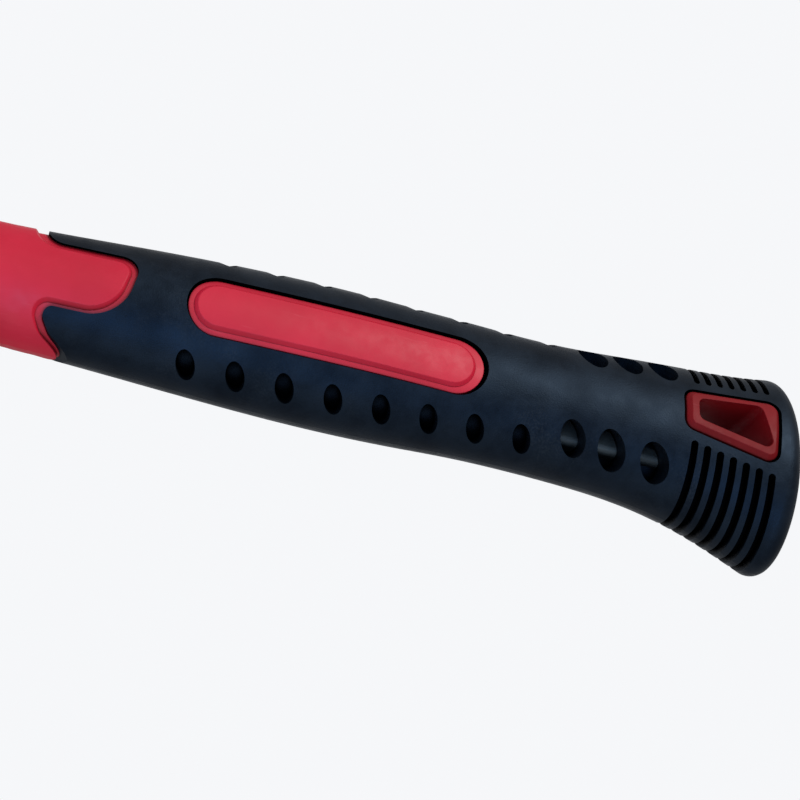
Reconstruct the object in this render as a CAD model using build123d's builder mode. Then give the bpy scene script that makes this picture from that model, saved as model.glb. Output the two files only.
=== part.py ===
from build123d import *
import math
import os

# A splitting maul with a fibreglass handle, standing on the flat crown of its head.
# Millimetres. The origin is on the crown face, where the eye's axis leaves it.
# +Z runs up the handle to the knob, +X points to the cutting edge, and Y is across.

# ---- Head -------------------------------------------------------------------
head_height = 60.0
poll_x = -68.0
edge_x = 122.0
poll_half_width = 26.0
eye_half_width = 29.5
cheek_start_x = 26.0
cheek_half_width = 4.2
edge_arc_drop = 7.0
heel_height = 84.0
heel_curve_x = 48.0
heel_sag = 2.0
heel_slope = 0.28
poll_taper = 3.0
poll_taper_length = 14.0
poll_flat_length = 16.0
eye_swell_back = 0.7
eye_swell_front = 1.5
cheek_slope = 0.25
bevel_length = 15.0
bevel_depth = 3.7
poll_chamfer = 4.0
head_edge_radius = 2.5

eye_crown_size = (50.0, 29.0)
eye_mouth_size = (43.0, 23.0)
dam_height = 7.0

# ---- Core and shaft ---------------------------------------------------------
core_size = (23.0, 11.0)
core_corner_radius = 2.5
core_top = 859.0
shaft_half_height = 17.1
shaft_half_width = 12.5
shaft_axis_x = 0.8
shoulder_half_height = 20.0
shoulder_half_width = 15.0
shoulder_inset = 1.0
shoulder_top = 215.0
waist_bottom = 290.0
grip_bottom = 640.0
tenon_wall = 3.0
tenon_top = 716.0

# Sections of the shaft below the grip: height, half height in X, half width in Y.
shaft_sections = (
    (head_height, shoulder_half_height, shoulder_half_width),
    (shoulder_top, shoulder_half_height - shoulder_inset, shoulder_half_width - shoulder_inset),
    (waist_bottom, shaft_half_height, shaft_half_width),
    (grip_bottom, shaft_half_height, shaft_half_width),
)

# ---- Overstrike collar ------------------------------------------------------
collar_gap = 0.8
collar_bottom = head_height + collar_gap
collar_top = 186.0
collar_thickness = 3.2
collar_grooves = 9
collar_groove_pitch = 6.5
collar_groove_width = 2.4
collar_groove_depth = 1.3
collar_first_groove = 92.0
collar_groove_start_x = 2.0

# ---- Grip outline -----------------------------------------------------------
# Sections across the handle: height, centre in X, half height in X, half width in Y.
knob_end = 898.1
grip_sections = (
    (grip_bottom, shaft_axis_x, shaft_half_height, shaft_half_width),
    (664.0, shaft_axis_x, shaft_half_height, shaft_half_width),
    (682.0, 0.6, 17.8, 12.8),
    (702.0, 0.3, 19.0, 13.6),
    (727.0, 0.15, 20.4, 14.6),
    (757.0, 0.15, 21.3, 15.3),
    (787.0, 0.05, 20.8, 14.9),
    (820.0, 0.15, 20.4, 14.6),
    (842.0, 0.15, 21.6, 15.3),
    (862.0, 1.05, 24.0, 16.4),
    (877.0, 2.95, 26.9, 17.8),
    (889.0, 4.7, 30.2, 19.0),
    (903.0, 6.85, 34.2, 20.0),
)
dome_radius = 180.0
dome_centre_x = 4.0
knob_edge_radius = 4.5

# The line between the jacket and the grip in side view: each corner with its rounding.
# A tongue of the jacket reaches up the side, with a bay of the grip in front of it.
seam_corners = (
    ((-26.0, 678.3), 0.0),
    ((-9.8, 678.0), 5.0),
    ((-9.8, 704.2), 5.0),
    ((9.5, 701.2), 11.0),
    ((9.5, 679.2), 2.2),
    ((15.5, 684.0), 5.0),
    ((26.0, 704.5), 0.0),
)
# The jacket is level with the grip up to this line, then slopes down to a ledge.
face_corners = (
    ((-26.0, 675.6), 0.0),
    ((-8.2, 675.4), 6.5),
    ((-8.2, 702.6), 4.0),
    ((8.4, 699.4), 10.0),
    ((8.4, 677.0), 3.0),
    ((15.5, 681.8), 5.0),
    ((26.0, 703.7), 0.0),
)
ledge_drop = 1.0
ledge_slope = 0.9

# ---- Side panels ------------------------------------------------------------
# The face sits off centre on its ledge, and the panel off centre in its pocket.
panel_x = -0.6
panel_z = 759.5
panel_size = (83.5, 16.8)
panel_face_z = 759.0
panel_face_size = (79.5, 13.8)
pocket_z = 759.8
pocket_size = (85.3, 18.2)
panel_depth = 3.6

# ---- Grip holes -------------------------------------------------------------
# Angles are round the section from the side, towards the front or, below zero, the back.
small_hole_size = (5.1, 8.7)
small_hole_count = 8
small_hole_pitch = 13.53
small_hole_first_z = 720.5
small_hole_depth = 6.3
front_small_angle = 53.7
front_small_angle_step = -0.7
back_row_stagger = 6.3
back_small_angle = -69.0
# Each big hole: height, angle, size.
big_front_holes = (
    (829.5, 37.0, (7.2, 11.0)),
    (841.1, 38.8, (8.0, 12.4)),
    (854.0, 37.5, (8.2, 12.2)),
)
big_front_hole_depth = 10.0
big_back_holes = (
    (834.6, -49.0, (8.0, 11.4)),
    (845.3, -49.0, (8.0, 11.4)),
    (856.1, -49.0, (8.0, 11.4)),
)
big_back_hole_depth = 8.4
hole_lean = 20.0
plug_lead = 3.0

# ---- Knob -------------------------------------------------------------------
groove_count = 7
groove_depth = 3.0
front_groove_width = 2.1
front_groove_pitch = 3.85
front_groove_first_z = 864.4
front_groove_start_x = 7.5
front_groove_step_x = 0.95
back_groove_width = 1.8
back_groove_pitch = 3.62
back_groove_first_z = 865.8
back_groove_start_x = -14.1
back_groove_step_x = -0.25

# Hang eyelet: corners of the rim and of the opening, seen from the side.
rim_corners = ((-9.5, 861.6), (-11.2, 890.0), (9.1, 888.6), (2.3, 861.6))
opening_corners = ((-7.0, 864.9), (-8.7, 884.2), (5.6, 887.6), (-0.2, 864.9))
rim_corner_radius = 3.0
opening_corner_radius = 2.2
rim_rise = 0.9
rim_gap = 0.8
rim_gap_depth = 2.4
rim_chamfer = 1.3

# Cutting solids reach this far from the axis, past everything: across, and along X.
side_reach = 30.0
reach = 60.0


def grip_form(inset):
    """The outside of the handle from the shaft to the domed knob, drawn in by inset."""
    with BuildPart() as above_dome:
        with Locations((0, 0, knob_end)):
            Box(2 * reach, 2 * side_reach, reach)
        with Locations((dome_centre_x, 0, knob_end - dome_radius)):
            Sphere(dome_radius - inset, rotation=(0, 90, 0), mode=Mode.SUBTRACT)
    with BuildPart() as form:
        for height, centre, half_height, half_width in grip_sections:
            with BuildSketch(Plane.XY.offset(height)):
                with Locations((centre, 0)):
                    Ellipse(half_height - inset, half_width - inset)
        loft()
        add(above_dome.part, mode=Mode.SUBTRACT)
    return form.part


def side_prism(outline):
    """A side-view outline made solid right across the handle."""
    with BuildPart() as prism:
        with BuildSketch(Plane.XZ.offset(-side_reach)):
            add(outline)
        extrude(amount=2 * side_reach)
    return prism.part


def corner_outline(corners, radius, margin=0.0):
    """A side-view outline through the corners, rounded, and grown by a margin."""
    with BuildSketch() as outline:
        with BuildLine():
            Polyline(*corners, close=True)
        make_face()
        fillet(outline.vertices(), radius)
        if margin:
            offset(amount=margin)
    return outline.sketch


def panel_outline(height, size):
    """An obround of a side panel, in side view, centred at a height."""
    with BuildSketch() as outline:
        with Locations((panel_x, height)):
            SlotOverall(*size, rotation=90)
    return outline.sketch


def seam_outline(corners):
    """Everything on the jacket's side of a seam line, in side view."""
    points = [point for point, rounding in corners]
    with BuildSketch() as outline:
        with BuildLine():
            Polyline((points[0][0], 0), *points, (points[-1][0], 0), close=True)
        make_face()
        for point, rounding in corners:
            if rounding:
                fillet(outline.vertices().sort_by_distance(point)[0], rounding)
    return outline.sketch


def section_at(height):
    """Centre, half height and half width of the grip at a height."""
    below = [row for row in grip_sections if row[0] <= height][-1]
    above = [row for row in grip_sections if row[0] >= height][0]
    if above[0] == below[0]:
        return below[1:]
    share = (height - below[0]) / (above[0] - below[0])
    return tuple(low + share * (high - low) for low, high in zip(below[1:], above[1:]))


def hole_rows():
    """Every grip hole: height, angle round the section, size and depth."""
    rows = []
    for index in range(small_hole_count):
        front_z = small_hole_first_z + index * small_hole_pitch
        front_angle = front_small_angle + index * front_small_angle_step
        rows.append((front_z, front_angle, small_hole_size, small_hole_depth))
        back_z = front_z + back_row_stagger
        rows.append((back_z, back_small_angle, small_hole_size, small_hole_depth))
    rows.extend((*hole, big_front_hole_depth) for hole in big_front_holes)
    rows.extend((*hole, big_back_hole_depth) for hole in big_back_holes)
    return rows


def grip_holes():
    """Leaning oval plugs for all the holes of one side and the other."""
    with BuildPart() as plugs:
        for height, angle, size, depth in hole_rows():
            centre, half_height, half_width = section_at(height)
            turn = math.radians(angle)
            for side in (-1, 1):
                mouth = Vector(
                    centre + half_height * math.sin(turn),
                    side * half_width * math.cos(turn),
                    height,
                )
                normal = Vector(
                    math.sin(turn) / half_height, side * math.cos(turn) / half_width, 0
                ).normalized()
                start = mouth + normal * plug_lead
                with BuildSketch(Plane(origin=start, x_dir=(0, 0, 1), z_dir=normal)):
                    Ellipse(size[0] / 2, size[1] / 2, rotation=-side * hole_lean)
                extrude(amount=-(depth + plug_lead))
    return plugs.part


def knob_slots():
    """The grooves' slots in side view, full width, before their floor is put back."""
    with BuildPart() as slots:
        with BuildSketch(Plane.XZ.offset(-side_reach)):
            for index in range(groove_count):
                height = front_groove_first_z + index * front_groove_pitch
                start = front_groove_start_x + index * front_groove_step_x
                with Locations(((start + reach) / 2, height)):
                    SlotCenterToCenter(reach - start, front_groove_width)
                height = back_groove_first_z + index * back_groove_pitch
                start = back_groove_start_x + index * back_groove_step_x
                with Locations(((start - reach) / 2, height)):
                    SlotCenterToCenter(start + reach, back_groove_width)
        extrude(amount=2 * side_reach)
    return slots.part


def core_section(growth=0.0):
    """The rounded rectangle of the core, grown on every side."""
    with BuildSketch() as section:
        RectangleRounded(
            core_size[0] + 2 * growth, core_size[1] + 2 * growth, core_corner_radius + growth
        )
    return section.sketch


def eye_taper(bottom, top):
    """The oval eye between two heights; it widens from its mouth to the crown."""
    with BuildPart() as taper:
        for height in (bottom, top):
            share = height / head_height
            size = [
                crown + share * (mouth - crown)
                for crown, mouth in zip(eye_crown_size, eye_mouth_size)
            ]
            with BuildSketch(Plane.XY.offset(height)):
                Ellipse(size[0] / 2, size[1] / 2)
        loft()
    return taper.part


def export(piece, name):
    """Write one sub-part to its own file under its plain name."""
    piece.label = name
    export_step(piece, f"parts/{name}.step")


os.makedirs("parts", exist_ok=True)

# ---- Maul head: side outline crossed with plan outline, chamfered bit, open eye ----
with BuildPart() as maul_head:
    with BuildSketch(Plane.XZ.offset(-side_reach)):
        with BuildLine():
            Line((poll_x, poll_taper), (poll_x + poll_taper_length, 0))
            Line((poll_x + poll_taper_length, 0), (edge_x - edge_arc_drop, 0))
            ThreePointArc(
                (edge_x - edge_arc_drop, 0),
                (edge_x, heel_height / 2),
                (edge_x - edge_arc_drop, heel_height),
            )
            Spline(
                (edge_x - edge_arc_drop, heel_height),
                ((edge_x + heel_curve_x) / 2, (heel_height + head_height) / 2 - heel_sag),
                (heel_curve_x, head_height),
                tangents=((-1, -heel_slope), (-1, 0)),
            )
            Line((heel_curve_x, head_height), (poll_x + poll_taper_length, head_height))
            Line((poll_x + poll_taper_length, head_height), (poll_x, head_height - poll_taper))
            Line((poll_x, head_height - poll_taper), (poll_x, poll_taper))
        make_face()
    extrude(amount=2 * side_reach)
    with BuildSketch():
        with BuildLine() as plan:
            Line((poll_x, 0), (poll_x, poll_half_width))
            Line((poll_x, poll_half_width), (poll_x + poll_flat_length, poll_half_width))
            Spline(
                (poll_x + poll_flat_length, poll_half_width),
                (-cheek_start_x, eye_half_width - eye_swell_back),
                (0, eye_half_width),
                (cheek_start_x, eye_half_width - eye_swell_front),
                (edge_x, cheek_half_width),
                tangents=((1, 0), (1, -cheek_slope)),
            )
            Line((edge_x, cheek_half_width), (edge_x, 0))
            mirror(about=Plane.XZ)
        make_face()
    extrude(amount=2 * reach, mode=Mode.INTERSECT)
    edge_face = maul_head.faces().sort_by(Axis.X)[-1]
    chamfer(
        edge_face.edges().filter_by(GeomType.LINE, reverse=True),
        bevel_depth,
        bevel_length,
        reference=edge_face,
    )
    poll_face = maul_head.faces().sort_by(Axis.X)[0]
    chamfer(poll_face.edges(), poll_chamfer)
    long_edges = maul_head.edges().filter_by(
        lambda edge: edge.length > head_height and abs(edge.center().Y) > poll_half_width / 2
    )
    fillet(long_edges, head_edge_radius)
    add(eye_taper(0, head_height), mode=Mode.SUBTRACT)

# ---- Core: one pultruded bar from the crown to just short of the hang eyelet ----
with BuildPart() as fibreglass_core:
    with BuildSketch():
        add(core_section())
    extrude(amount=core_top)

# ---- Resin that locks the core in the eye, and the dam that kept it in ----
with BuildPart() as eye_resin:
    add(eye_taper(0, head_height - dam_height))
    add(fibreglass_core.part, mode=Mode.SUBTRACT)

with BuildPart() as eye_dam:
    add(eye_taper(head_height - dam_height, head_height))
    add(fibreglass_core.part, mode=Mode.SUBTRACT)

# ---- Shared forms of the handle ----
grip_outside = grip_form(0)
groove_floor = grip_form(groove_depth)
pocket_floor = grip_form(panel_depth)
jacket_region = side_prism(seam_outline(seam_corners))

with BuildPart() as tenon:
    with BuildSketch(Plane.XY.offset(grip_bottom)):
        add(core_section(tenon_wall))
    extrude(amount=tenon_top - grip_bottom)

# ---- Jacket: the red shaft, its tongue and the tenon that the grip is moulded over ----
with BuildPart() as jacket_face:
    add(grip_outside & side_prism(seam_outline(face_corners)))
    face_edges = jacket_face.edges().filter_by(
        lambda edge: edge.center().Z > (grip_bottom + face_corners[0][0][1]) / 2
        and edge.geom_type != GeomType.LINE
    )
    chamfer(face_edges, ledge_slope)

with BuildPart() as handle_jacket:
    for bottom, top in zip(shaft_sections[:-1], shaft_sections[1:]):
        for height, half_height, half_width in (bottom, top):
            with BuildSketch(Plane.XY.offset(height)):
                with Locations((shaft_axis_x, 0)):
                    Ellipse(half_height, half_width)
        loft()
    add(jacket_face.part)
    add(grip_form(ledge_drop) & jacket_region)
    add(tenon.part)
    add(fibreglass_core.part, mode=Mode.SUBTRACT)

# ---- Overstrike collar: a ribbed rubber sleeve over the jacket, under the head ----
with BuildPart() as collar_floor:
    with BuildSketch(Plane.XY.offset(head_height)):
        with Locations((shaft_axis_x, 0)):
            Ellipse(
                shoulder_half_height + collar_thickness - collar_groove_depth,
                shoulder_half_width + collar_thickness - collar_groove_depth,
            )
    extrude(amount=collar_top)

with BuildPart() as collar_slots:
    with BuildSketch(Plane.XZ.offset(-side_reach)):
        for index in range(collar_grooves):
            height = collar_first_groove + index * collar_groove_pitch
            with Locations(((collar_groove_start_x + reach) / 2, height)):
                SlotCenterToCenter(reach - collar_groove_start_x, collar_groove_width)
    extrude(amount=2 * side_reach)
    add(collar_floor.part, mode=Mode.SUBTRACT)

with BuildPart() as overstrike_collar:
    with BuildSketch(Plane.XY.offset(collar_bottom)):
        with Locations((shaft_axis_x, 0)):
            Ellipse(
                shoulder_half_height + collar_thickness, shoulder_half_width + collar_thickness
            )
    extrude(amount=collar_top - collar_bottom)
    fillet(overstrike_collar.edges().group_by(Axis.Z)[-1], collar_thickness / 2)
    fillet(overstrike_collar.edges().group_by(Axis.Z)[0], collar_thickness / 4)
    add(collar_slots.part, mode=Mode.SUBTRACT)
    add(handle_jacket.part, mode=Mode.SUBTRACT)
    add(fibreglass_core.part, mode=Mode.SUBTRACT)

# ---- Hang eyelet: a through sleeve in the knob with a raised rim on each side ----
rim_region = side_prism(corner_outline(rim_corners, rim_corner_radius))
rim_gap_region = side_prism(corner_outline(rim_corners, rim_corner_radius, rim_gap))

with BuildPart() as hang_eyelet:
    add(grip_form(-rim_rise) & rim_region)
    rim_edges = hang_eyelet.edges().filter_by(lambda edge: abs(edge.center().Y) > rim_rise)
    chamfer(rim_edges, rim_chamfer)
    add(
        side_prism(corner_outline(opening_corners, opening_corner_radius)), mode=Mode.SUBTRACT
    )

# ---- Side panels: an obround with a raised face inside a lower ledge ----
with BuildPart() as panel_face:
    add(grip_outside & side_prism(panel_outline(panel_face_z, panel_face_size)))
    chamfer(panel_face.edges().filter_by(Axis.Y, reverse=True), ledge_slope)

panel_ledge = grip_form(ledge_drop) & side_prism(panel_outline(panel_z, panel_size))
panel_pair = panel_face.part + panel_ledge - pocket_floor

with BuildPart() as side_panel_right:
    add(panel_pair.solids().sort_by(Axis.Y)[0])

with BuildPart() as side_panel_left:
    add(panel_pair.solids().sort_by(Axis.Y)[-1])

# ---- Grip: soft sleeve from the seam to the end of the knob ----
with BuildPart() as grip_sleeve:
    add(grip_outside)
    fillet(grip_sleeve.faces().sort_by(Axis.Z)[-1].edges(), knob_edge_radius)
    add(jacket_region, mode=Mode.SUBTRACT)
    add(tenon.part, mode=Mode.SUBTRACT)
    add(fibreglass_core.part, mode=Mode.SUBTRACT)
    add(side_prism(panel_outline(pocket_z, pocket_size)) - pocket_floor, mode=Mode.SUBTRACT)
    add(rim_region, mode=Mode.SUBTRACT)
    add(rim_gap_region - grip_form(rim_gap_depth), mode=Mode.SUBTRACT)
    add(knob_slots() - groove_floor, mode=Mode.SUBTRACT)
    add(grip_holes(), mode=Mode.SUBTRACT)

export(maul_head.part, "maul_head")
export(fibreglass_core.part, "fibreglass_core")
export(eye_resin.part, "eye_resin")
export(eye_dam.part, "eye_dam")
export(handle_jacket.part, "handle_jacket")
export(overstrike_collar.part, "overstrike_collar")
export(hang_eyelet.part, "hang_eyelet")
export(side_panel_right.part, "side_panel_right")
export(side_panel_left.part, "side_panel_left")
export(grip_sleeve.part, "grip_sleeve")
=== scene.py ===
import math

import bpy
from mathutils import Matrix, Vector


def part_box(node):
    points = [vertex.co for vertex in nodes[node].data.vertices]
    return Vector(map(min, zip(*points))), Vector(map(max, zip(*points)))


# A splitting maul standing on its head, with the camera close to the grip end.
# Metres, in the CAD frame: +Z up the handle, +X to the cutting edge.

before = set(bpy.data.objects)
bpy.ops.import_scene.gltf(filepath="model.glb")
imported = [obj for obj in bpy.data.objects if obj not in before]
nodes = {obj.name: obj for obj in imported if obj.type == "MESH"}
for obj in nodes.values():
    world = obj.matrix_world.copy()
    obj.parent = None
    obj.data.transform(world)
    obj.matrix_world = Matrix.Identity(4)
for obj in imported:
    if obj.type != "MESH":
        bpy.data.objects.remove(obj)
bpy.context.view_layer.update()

# ---- Camera --------------------------------------------------------------------
# It stands off the grip's -Y side, turned towards +X, and looks slightly up at it.
# The handle lies across the view, with the knob on the right, tipped down by the roll.
aim_offset_x = 0.0073
aim_below_knob = 0.1163
camera_distance = 0.450
width_in_view = 0.224  # of the plane through the aim point
turn_from_front = math.radians(27.0)
look_up = math.radians(12.0)
roll = math.radians(13.3)


def camera_axes():
    """The camera's right, up and backward directions in the frame."""
    # "along" follows the handle as nearly as the view plane lets it.
    level_back = Vector((math.sin(turn_from_front), -math.cos(turn_from_front), 0.0))
    level_across = Vector((math.cos(turn_from_front), math.sin(turn_from_front), 0.0))
    upright = Vector((0.0, 0.0, 1.0))
    back = level_back * math.cos(look_up) - upright * math.sin(look_up)
    along = level_back * math.sin(look_up) + upright * math.cos(look_up)
    right = along * math.cos(roll) - level_across * math.sin(roll)
    down = along * math.sin(roll) + level_across * math.cos(roll)
    return right, -down, back


def aim_point():
    """The point of the grip that the camera and the lights are aimed at."""
    knob_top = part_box("grip_sleeve")[1].z
    return Vector((aim_offset_x, 0.0, knob_top - aim_below_knob))


def make_camera():
    """A camera at its distance from the aim point, with a lens for the width in view."""
    right, up, back = camera_axes()
    data = bpy.data.cameras.new("camera")
    data.lens = data.sensor_width * camera_distance / width_in_view
    camera = bpy.data.objects.new("camera", data)
    place = Matrix((right, up, back)).transposed().to_4x4()
    place.translation = aim_point() + back * camera_distance
    camera.matrix_world = place
    bpy.context.scene.collection.objects.link(camera)
    bpy.context.scene.camera = camera


# ---- Node helpers --------------------------------------------------------------
class Shader:
    """A material's node tree, with short calls for the nodes that the materials use."""

    recess_rays = 12
    edge_rays = 6
    # Cosine of the angle between a face's normal and its rounded-off normal.
    wear_starts = 0.998
    wear_is_full = 0.96

    def __init__(self, name):
        self.material = bpy.data.materials.new(name)
        self.material.use_nodes = True
        self.tree = self.material.node_tree
        self.tree.nodes.clear()
        self.surface = self.tree.nodes.new("ShaderNodeBsdfPrincipled")
        output = self.tree.nodes.new("ShaderNodeOutputMaterial")
        self.link(self.surface.outputs["BSDF"], output.inputs["Surface"])
        self.place = self.tree.nodes.new("ShaderNodeTexCoord").outputs["Object"]

    def link(self, source, target):
        """Join an output to an input."""
        self.tree.links.new(source, target)

    def feed(self, value, target):
        """Link an output to a socket, or set the socket to a plain value."""
        if isinstance(value, bpy.types.NodeSocket):
            self.link(value, target)
        else:
            target.default_value = value

    def place_x(self):
        """Each point's X, in metres."""
        axes = self.tree.nodes.new("ShaderNodeSeparateXYZ")
        self.link(self.place, axes.inputs["Vector"])
        return axes.outputs["X"]

    def stretch(self, scale):
        """Each point's place, in metres, scaled along each axis."""
        mapping = self.tree.nodes.new("ShaderNodeMapping")
        self.link(self.place, mapping.inputs["Vector"])
        mapping.inputs["Scale"].default_value = scale
        return mapping.outputs["Vector"]

    def noise(self, per_metre, detail=4.0, roughness=0.5, along=None):
        """Noise from 0 to 1 with that many features in a metre."""
        node = self.tree.nodes.new("ShaderNodeTexNoise")
        node.inputs["Scale"].default_value = per_metre
        node.inputs["Detail"].default_value = detail
        node.inputs["Roughness"].default_value = roughness
        self.link(along or self.place, node.inputs["Vector"])
        return node.outputs["Fac"]

    def cells(self, per_metre):
        """Distance to the nearest of scattered points, 1 being their spacing."""
        node = self.tree.nodes.new("ShaderNodeTexVoronoi")
        node.inputs["Scale"].default_value = per_metre
        self.link(self.place, node.inputs["Vector"])
        return node.outputs["Distance"]

    def unshaded_share(self, within, low, high):
        """0 deep in a recess to 1 on an open face, by what stands within a distance: the mask
        for painted shade in recesses.
        """
        node = self.tree.nodes.new("ShaderNodeAmbientOcclusion")
        node.samples = self.recess_rays
        node.inputs["Distance"].default_value = within
        return self.ramp(node.outputs["AO"], low, high)

    def ramp(self, value, low, high, start=0.0, end=1.0):
        """A smooth change from start, where value is at low, to end, where it is at high."""
        node = self.tree.nodes.new("ShaderNodeMapRange")
        node.interpolation_type = "SMOOTHSTEP"
        self.link(value, node.inputs["Value"])
        node.inputs["From Min"].default_value = low
        node.inputs["From Max"].default_value = high
        node.inputs["To Min"].default_value = start
        node.inputs["To Max"].default_value = end
        return node.outputs["Result"]

    def calculate(self, operation, first, second):
        """The sum, difference, product or larger of two values."""
        node = self.tree.nodes.new("ShaderNodeMath")
        node.operation = operation
        self.feed(first, node.inputs[0])
        self.feed(second, node.inputs[1])
        return node.outputs["Value"]

    def mix(self, share, first, second, kind="RGBA"):
        """A colour between two colours or, with kind FLOAT, a number between two numbers."""
        node = self.tree.nodes.new("ShaderNodeMix")
        node.data_type = kind
        self.feed(share, node.inputs["Factor"])
        self.feed(first, node.inputs["A"])
        self.feed(second, node.inputs["B"])
        return node.outputs["Result"]

    def worn_edges(self, radius):
        """Normals that round every edge off by a radius in metres."""
        node = self.tree.nodes.new("ShaderNodeBevel")
        node.samples = self.edge_rays
        node.inputs["Radius"].default_value = radius
        return node.outputs["Normal"]

    def edge_wear(self, radius):
        """0 on a flat face, rising to 1 on an edge, over a radius in metres."""
        face = self.tree.nodes.new("ShaderNodeNewGeometry").outputs["Normal"]
        dot = self.tree.nodes.new("ShaderNodeVectorMath")
        dot.operation = "DOT_PRODUCT"
        self.link(self.worn_edges(radius), dot.inputs[0])
        self.link(face, dot.inputs[1])
        return self.ramp(dot.outputs["Value"], self.wear_starts, self.wear_is_full)

    def bump(self, pattern, height, strength, under=None):
        """A pattern raised to a height in metres, on top of other normals."""
        node = self.tree.nodes.new("ShaderNodeBump")
        node.inputs["Distance"].default_value = height
        node.inputs["Strength"].default_value = strength
        self.link(pattern, node.inputs["Height"])
        if under is not None:
            self.link(under, node.inputs["Normal"])
        return node.outputs["Normal"]

    def finish(self, **values):
        """Set the surface's sockets by name, with spaces as underscores."""
        for name, value in values.items():
            self.feed(value, self.surface.inputs[name.replace("_", " ")])
        return self.material


def rgb(red, green, blue):
    """An opaque colour, in linear light."""
    return (red, green, blue, 1.0)


# ---- Materials -----------------------------------------------------------------
def red_plastic(name, deep, light, shine):
    """Satin moulded polypropylene: a fine orange-peel skin with faint flow marks, and painted
    shade in its recesses.
    """
    scuffed = rgb(0.80, 0.25, 0.25)
    scuff_share = 0.06
    # The colour of the painted shade at the foot of steps and in gaps.
    red_in_shade = 0.45
    rest_in_shade = 0.3
    painted_shade = rgb(deep[0] * red_in_shade, deep[1] * rest_in_shade, deep[2] * rest_in_shade)
    moulded_edge = 0.0004
    peel_height = 0.00002
    shader = Shader(name)
    cloud = shader.ramp(shader.noise(60, detail=3), 0.3, 0.7)
    colour = shader.mix(cloud, deep, light)
    flow = shader.noise(900, detail=5, along=shader.stretch((1.0, 1.0, 0.08)))
    scuff = shader.ramp(flow, 0.66, 0.74)
    colour = shader.mix(shader.calculate("MULTIPLY", scuff, scuff_share), colour, scuffed)
    # Painted shade: the colour darkens in recesses and at the foot of each step, by ambient
    # occlusion.
    unshaded = shader.unshaded_share(within=0.0022, low=0.62, high=0.92)
    colour = shader.mix(unshaded, painted_shade, colour)
    rough = shader.ramp(shader.noise(260, detail=4), 0.3, 0.7, start=0.46, end=0.56)
    edges = shader.worn_edges(moulded_edge)
    peel = shader.bump(shader.noise(1500, detail=2), peel_height, strength=0.5, under=edges)
    return shader.finish(
        Base_Color=colour, Roughness=rough, Normal=peel, Specular_IOR_Level=shine
    )


def black_rubber():
    """Soft thermoplastic rubber: matte, spark-eroded grain, a little pale dust, and painted
    shade in its grooves and holes.
    """
    # Nearly black with a blue cast: the rubber's own colour, carrying part of a painted
    # bluish sky reflection.
    clean = rgb(0.0020, 0.0030, 0.0050)
    dusty = rgb(0.16, 0.17, 0.17)
    dust_share = 0.05
    # The colour of the painted shade in grooves, holes and gaps.
    painted_shade = rgb(0.0005, 0.0005, 0.0007)
    # A blue tint on every reflection: a painted cool sky sheen.
    cool_sheen = rgb(0.40, 0.65, 1.0)
    grain_height = 0.00006
    shader = Shader("black_rubber")
    dust = shader.ramp(shader.noise(55, detail=6, roughness=0.7), 0.50, 0.72)
    speck = shader.ramp(shader.noise(1800, detail=3), 0.40, 0.7)
    dust = shader.calculate("MULTIPLY", dust, speck)
    colour = shader.mix(shader.calculate("MULTIPLY", dust, dust_share), clean, dusty)
    # Painted shade: colour darkens in grooves, holes and gaps, by ambient occlusion.
    unshaded = shader.unshaded_share(within=0.004, low=0.45, high=0.85)
    colour = shader.mix(unshaded, painted_shade, colour)
    smears = shader.noise(75, detail=5, roughness=0.65)
    wiped = shader.ramp(smears, 0.32, 0.68, start=0.18, end=0.34)
    rough = shader.ramp(shader.noise(300, detail=4), 0.3, 0.7, start=0.44, end=0.52)
    return shader.finish(
        Base_Color=colour,
        Roughness=rough,
        Normal=shader.bump(shader.noise(2200, detail=3), grain_height, strength=0.8),
        # Painted shade on the reflections too: the sheen fades out in recesses.
        Specular_IOR_Level=shader.calculate("MULTIPLY", unshaded, wiped),
        Specular_Tint=cool_sheen,
    )


def fibreglass():
    """Pultruded bar: glass strands along the handle in pale cloudy resin, with painted shade
    where the grip's rubber stands close round it.
    """
    resin = rgb(0.22, 0.24, 0.22)
    glass = rgb(0.46, 0.50, 0.46)
    # The colour of the painted shade inside the grip.
    painted_shade = rgb(0.0010, 0.0012, 0.0012)
    strand_height = 0.00008
    shader = Shader("fibreglass")
    strands = shader.noise(1400, detail=4, along=shader.stretch((1.0, 1.0, 0.02)))
    colour = shader.mix(strands, resin, glass)
    # Painted shade: the bar darkens where rubber stands close round it, by ambient occlusion.
    unshaded = shader.unshaded_share(within=0.010, low=0.15, high=0.75)
    colour = shader.mix(unshaded, painted_shade, colour)
    ridge = shader.bump(strands, strand_height, strength=0.6)
    return shader.finish(Base_Color=colour, Roughness=0.5, Normal=ridge)


def cured_resin():
    """Amber epoxy with small bubbles."""
    amber = rgb(0.30, 0.20, 0.08)
    pale_amber = rgb(0.52, 0.38, 0.17)
    bubble_height = 0.0001
    shader = Shader("cured_resin")
    colour = shader.mix(shader.noise(140, detail=4), amber, pale_amber)
    bubble = shader.ramp(shader.cells(700), 0.0, 0.25)
    pits = shader.bump(bubble, bubble_height, strength=0.5)
    return shader.finish(Base_Color=colour, Roughness=0.28, Normal=pits)


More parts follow.
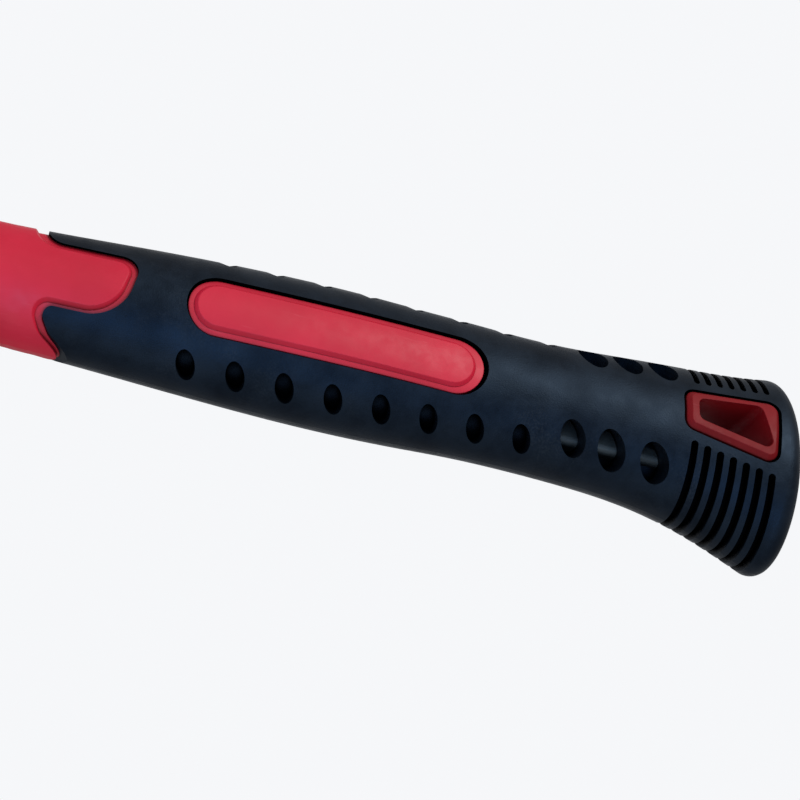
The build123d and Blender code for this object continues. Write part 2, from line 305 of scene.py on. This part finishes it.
def worn_paint(shader):
    """1 where the paint is gone: on the bit and the poll, in chips and along edges."""
    bit_raggedness = 0.010
    bit_starts = 0.016  # behind the cutting edge, as is the next
    bit_is_bare = 0.013
    poll_raggedness = 0.006
    poll_starts = 0.0015  # in from the poll's face, as is the next
    poll_is_bare = -0.0005
    bare_in_chips = 0.8
    rubbed_width = 0.0030
    poll_end, bit_end = (corner.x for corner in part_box("maul_head"))
    place_x = shader.place_x()
    ragged = shader.noise(160, detail=6, roughness=0.6)
    bit_line = shader.calculate("MULTIPLY", ragged, bit_raggedness)
    bit_line = shader.calculate("ADD", place_x, bit_line)
    bit = shader.ramp(bit_line, bit_end - bit_starts, bit_end - bit_is_bare)
    poll_line = shader.calculate("MULTIPLY", ragged, poll_raggedness)
    poll_line = shader.calculate("SUBTRACT", place_x, poll_line)
    poll = shader.ramp(poll_line, poll_end + poll_starts, poll_end + poll_is_bare)
    bare = shader.calculate("MAXIMUM", bit, poll)
    chips = shader.ramp(shader.noise(420, detail=6, roughness=0.7), 0.66, 0.70)
    chips = shader.calculate("MULTIPLY", chips, bare_in_chips)
    bare = shader.calculate("MAXIMUM", bare, chips)
    rubbed = shader.ramp(shader.noise(210, detail=6, roughness=0.65), 0.42, 0.60)
    rubbed = shader.calculate("MULTIPLY", rubbed, shader.edge_wear(rubbed_width))
    return shader.calculate("MAXIMUM", bare, rubbed)


def forged_steel():
    """Black paint over forging scale, worn to ground steel."""
    dark_steel = rgb(0.42, 0.42, 0.41)
    bright_steel = rgb(0.66, 0.65, 0.63)
    black_paint = rgb(0.012, 0.012, 0.013)
    grey_paint = rgb(0.030, 0.030, 0.032)
    scale_height = 0.00035
    grind_height = 0.00004
    shader = Shader("forged_steel")
    bare = worn_paint(shader)
    grind = shader.noise(700, detail=5, along=shader.stretch((0.12, 1.0, 1.6)))
    steel = shader.mix(grind, dark_steel, bright_steel)
    steel_rough = shader.ramp(grind, 0.3, 0.7, start=0.24, end=0.42)
    cloud = shader.noise(90, detail=5)
    paint = shader.mix(cloud, black_paint, grey_paint)
    paint_rough = shader.ramp(cloud, 0.3, 0.7, start=0.34, end=0.5)
    lumps = shader.noise(260, detail=6, roughness=0.6)
    scale = shader.bump(lumps, scale_height, strength=0.7)
    return shader.finish(
        Base_Color=shader.mix(bare, paint, steel),
        Metallic=bare,
        Roughness=shader.mix(bare, paint_rough, steel_rough, kind="FLOAT"),
        Normal=shader.bump(grind, grind_height, strength=0.5, under=scale),
    )


def pale_floor():
    """Matt floor paint, very faintly clouded."""
    pale_grey = rgb(0.78, 0.78, 0.78)
    paler_grey = rgb(0.84, 0.84, 0.84)
    shader = Shader("pale_floor")
    colour = shader.mix(shader.noise(6, detail=4), pale_grey, paler_grey)
    return shader.finish(Base_Color=colour, Roughness=0.7)


def dress(names, material):
    """Give CAD nodes one material and smooth shading."""
    for name in names:
        mesh = nodes[name].data
        mesh.materials.clear()
        mesh.materials.append(material)
        mesh.shade_smooth()


# ---- Stage ----------------------------------------------------------------------
def make_floor():
    """A square floor at the height of the head's crown."""
    reach = 3.0
    mesh = bpy.data.meshes.new("floor")
    corners = [(-reach, -reach, 0), (reach, -reach, 0), (reach, reach, 0), (-reach, reach, 0)]
    mesh.from_pydata(corners, [], [(0, 1, 2, 3)])
    mesh.materials.append(pale_floor())
    floor = bpy.data.objects.new("floor", mesh)
    bpy.context.scene.collection.objects.link(floor)


def make_sky():
    """A grey studio with a wide wall of light across the grip from the camera."""
    wall_edge = math.radians(44)  # from the wall's middle, as is the next
    wall_is_full = math.radians(21)
    room_strength = 0.42
    wall_strength = 0.95
    cool_white = rgb(0.97, 0.98, 1.0)
    wall_middle = -camera_axes()[2]
    world = bpy.data.worlds.new("studio")
    world.use_nodes = True
    tree = world.node_tree
    direction = tree.nodes.new("ShaderNodeTexCoord").outputs["Generated"]
    nearness = tree.nodes.new("ShaderNodeVectorMath")
    nearness.operation = "DOT_PRODUCT"
    tree.links.new(direction, nearness.inputs[0])
    nearness.inputs[1].default_value = wall_middle
    strength = tree.nodes.new("ShaderNodeMapRange")
    strength.interpolation_type = "SMOOTHSTEP"
    tree.links.new(nearness.outputs["Value"], strength.inputs["Value"])
    strength.inputs["From Min"].default_value = math.cos(wall_edge)
    strength.inputs["From Max"].default_value = math.cos(wall_is_full)
    strength.inputs["To Min"].default_value = room_strength
    strength.inputs["To Max"].default_value = wall_strength
    background = tree.nodes["Background"]
    tree.links.new(strength.outputs["Result"], background.inputs["Strength"])
    background.inputs["Color"].default_value = cool_white
    bpy.context.scene.world = world


def make_lamp(name, towards, distance, size, power, colour):
    """A square soft light, in a direction from the aim point and turned to face it."""
    data = bpy.data.lights.new(name, "AREA")
    data.size = size
    data.energy = power
    data.color = colour
    lamp = bpy.data.objects.new(name, data)
    direction = towards.normalized()
    lamp.location = aim_point() + direction * distance
    lamp.rotation_mode = "QUATERNION"
    lamp.rotation_quaternion = direction.to_track_quat("Z", "Y")
    bpy.context.scene.collection.objects.link(lamp)


def make_lamps():
    """A warm light from the poll's side, a weak one from the bit's, a bluish one between."""
    make_lamp(
        "key",
        towards=Vector((-0.50, -0.76, 0.36)),
        distance=1.3,
        size=0.40,
        power=8.5,
        colour=(1.0, 0.97, 0.93),
    )
    make_lamp(
        "fill",
        towards=Vector((0.80, -0.50, -0.10)),
        distance=1.4,
        size=0.60,
        power=2,
        colour=(1.0, 0.93, 0.90),
    )
    make_lamp(
        "window",
        towards=Vector((0.34, -0.92, -0.20)),
        distance=1.4,
        size=0.50,
        power=7.5,
        colour=(0.28, 0.56, 1.0),
    )


# ---- Put together ----------------------------------------------------------------
make_camera()
make_floor()
make_sky()
make_lamps()

bright_red = red_plastic(
    "red_plastic",
    deep=rgb(0.54, 0.005, 0.025),
    light=rgb(0.61, 0.007, 0.031),
    shine=0.36,
)
deep_red = red_plastic(
    "deep_red",
    deep=rgb(0.17, 0.002, 0.004),
    light=rgb(0.21, 0.003, 0.006),
    shine=0.15,
)
dress(["handle_jacket", "side_panel_left", "side_panel_right"], bright_red)
dress(["hang_eyelet"], deep_red)
dress(["grip_sleeve", "overstrike_collar", "eye_dam"], black_rubber())
dress(["fibreglass_core"], fibreglass())
dress(["eye_resin"], cured_resin())
dress(["maul_head"], forged_steel())
bpy.context.scene.view_settings.view_transform = "Standard"
